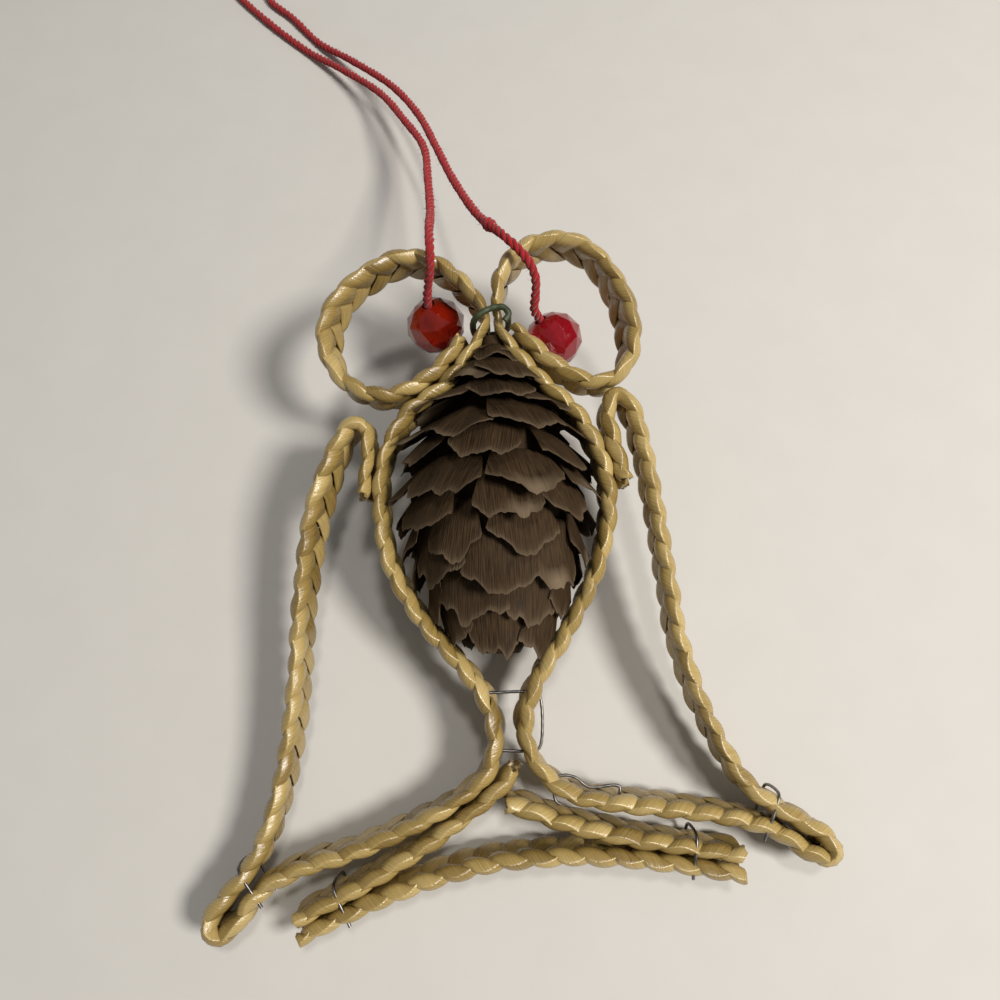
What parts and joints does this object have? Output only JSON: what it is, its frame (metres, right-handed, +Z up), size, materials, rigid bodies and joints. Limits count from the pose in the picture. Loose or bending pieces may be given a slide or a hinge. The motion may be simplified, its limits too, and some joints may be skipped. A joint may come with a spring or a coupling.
{
  "type": "straw ornament",
  "caption": "Owl-shaped hanging ornament of flat straw plait bent on edge, with a pine cone as its body, faceted red beads in the eye loops and a red cord loop.",
  "frame": {"origin": "centre of the base of the ornament as it lies on its back, without its cord", "axes": "+Z up off the table, +Y towards the eyes and the cord, +X to the owl-shape's right as seen from above"},
  "size_m": [0.128, 0.2324, 0.0339],
  "materials": {
    "straw": "satin flat straw, pale gold with fine grain",
    "cone_scale": "matt brown, finely ribbed, paler at the margins",
    "bead": "polished facets, deep ruby red",
    "cord": "twisted cotton",
    "green_wire": "matt dark green coat",
    "staple_steel": "dull tarnished wire"
  },
  "bodies": {
    "root": {"plait_left": "straw", "plait_right": "straw", "tail_left": "straw", "tail_right": "straw", "tail_arc": "straw", "pine_cone": "cone_scale", "bead_left": "bead", "bead_right": "bead", "neck_wire": "green_wire", "hang_cord": "cord", "staple_waist": "staple_steel", "staple_foot": "staple_steel", "staple_left_tip": "staple_steel", "staple_right_tip": "staple_steel", "staple_tail_left": "staple_steel", "staple_tail_right": "staple_steel"}
  },
  "joints": []
}
